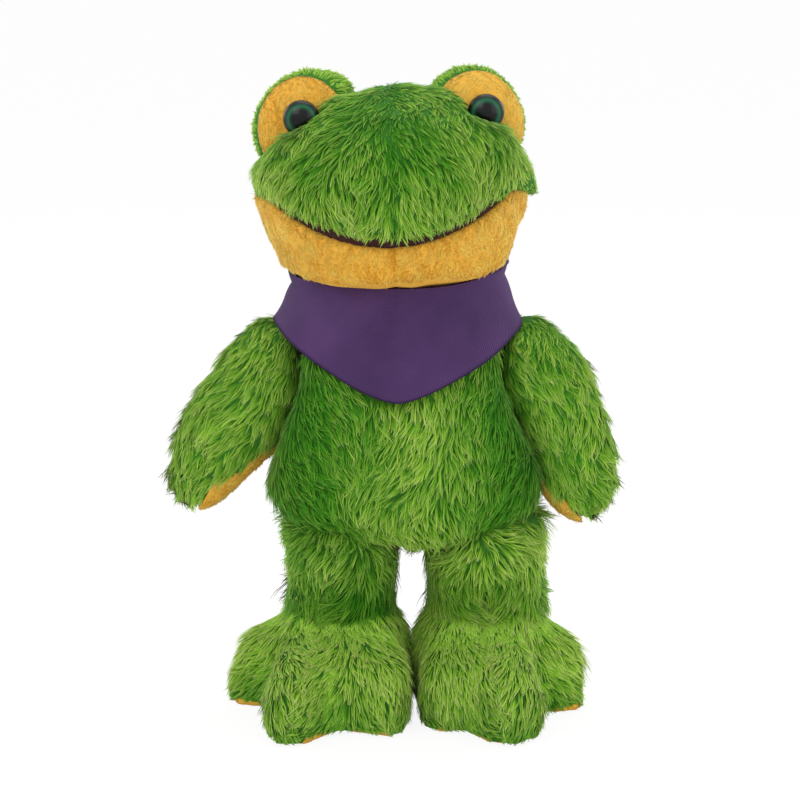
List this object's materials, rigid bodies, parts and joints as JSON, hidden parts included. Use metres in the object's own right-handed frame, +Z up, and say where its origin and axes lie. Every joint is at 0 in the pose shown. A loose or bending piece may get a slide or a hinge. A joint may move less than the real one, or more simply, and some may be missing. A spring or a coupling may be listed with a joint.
{
  "type": "plush frog",
  "caption": "Standing stuffed toy frog of long pile with a wide smiling mouth, round safety eyes, splayed feet and a neckerchief; sewn neck, shoulders and hips flex.",
  "frame": {"origin": "on the floor under the middle of the toy's footprint", "axes": "+Z up, the frog faces -Y, +X is on the right in the front view"},
  "size_m": [0.18, 0.11, 0.2538],
  "materials": {
    "green_pile": "matte",
    "yellow_pile": "matte",
    "mouth_cloth": "matte",
    "purple_twill": "matte",
    "stuffing": "matte",
    "pellet_cloth": "matte",
    "eye_plastic": "gloss",
    "washer_plastic": "matte"
  },
  "bodies": {
    "torso": {"torso_cover": "green_pile", "torso_stuffing": "stuffing", "neckerchief": "purple_twill", "neckerchief_knot": "purple_twill", "neckerchief_tail_left": "purple_twill", "neckerchief_tail_right": "purple_twill"},
    "head": {"head_cover": "green_pile", "jaw_cover": "yellow_pile", "mouth_lining": "mouth_cloth", "head_stuffing": "stuffing", "eye_mound_left": "green_pile", "eye_patch_left": "yellow_pile", "eye_left": "eye_plastic", "eye_washer_left": "washer_plastic", "eye_mound_right": "green_pile", "eye_patch_right": "yellow_pile", "eye_right": "eye_plastic", "eye_washer_right": "washer_plastic"},
    "arm_left": {"arm_cover_left": "green_pile", "palm_left": "yellow_pile", "arm_stuffing_left": "stuffing"},
    "leg_left": {"leg_cover_left": "green_pile", "leg_stuffing_left": "stuffing", "foot_cover_left": "green_pile", "sole_left": "yellow_pile", "pellet_bag_left": "pellet_cloth"},
    "arm_right": {"arm_cover_right": "green_pile", "palm_right": "yellow_pile", "arm_stuffing_right": "stuffing"},
    "leg_right": {"leg_cover_right": "green_pile", "leg_stuffing_right": "stuffing", "foot_cover_right": "green_pile", "sole_right": "yellow_pile", "pellet_bag_right": "pellet_cloth"}
  },
  "joints": [
    {"name": "neck_turn", "type": "hinge", "parent": "torso", "child": "head", "pos_m": [0.00033, 0.01078, 0.1704], "axis": [0, 0, 1], "range_deg": [-20, 20], "stiffness_Nm_per_rad": 0.3},
    {"name": "shoulder_left", "type": "hinge", "parent": "torso", "child": "arm_left", "pos_m": [-0.03527, 0.01078, 0.1388], "axis": [-1, 0, 0], "range_deg": [-30, 90], "stiffness_Nm_per_rad": 0.05},
    {"name": "shoulder_right", "type": "hinge", "parent": "torso", "child": "arm_right", "pos_m": [0.04173, 0.01078, 0.1388], "axis": [-1, 0, 0], "range_deg": [-30, 90], "stiffness_Nm_per_rad": 0.05},
    {"name": "hip_left", "type": "hinge", "parent": "torso", "child": "leg_left", "pos_m": [-0.02147, 0.01078, 0.058], "axis": [-1, 0, 0], "range_deg": [-15, 45], "stiffness_Nm_per_rad": 1.5},
    {"name": "hip_right", "type": "hinge", "parent": "torso", "child": "leg_right", "pos_m": [0.03653, 0.01078, 0.058], "axis": [-1, 0, 0], "range_deg": [-15, 45], "stiffness_Nm_per_rad": 1.5}
  ]
}
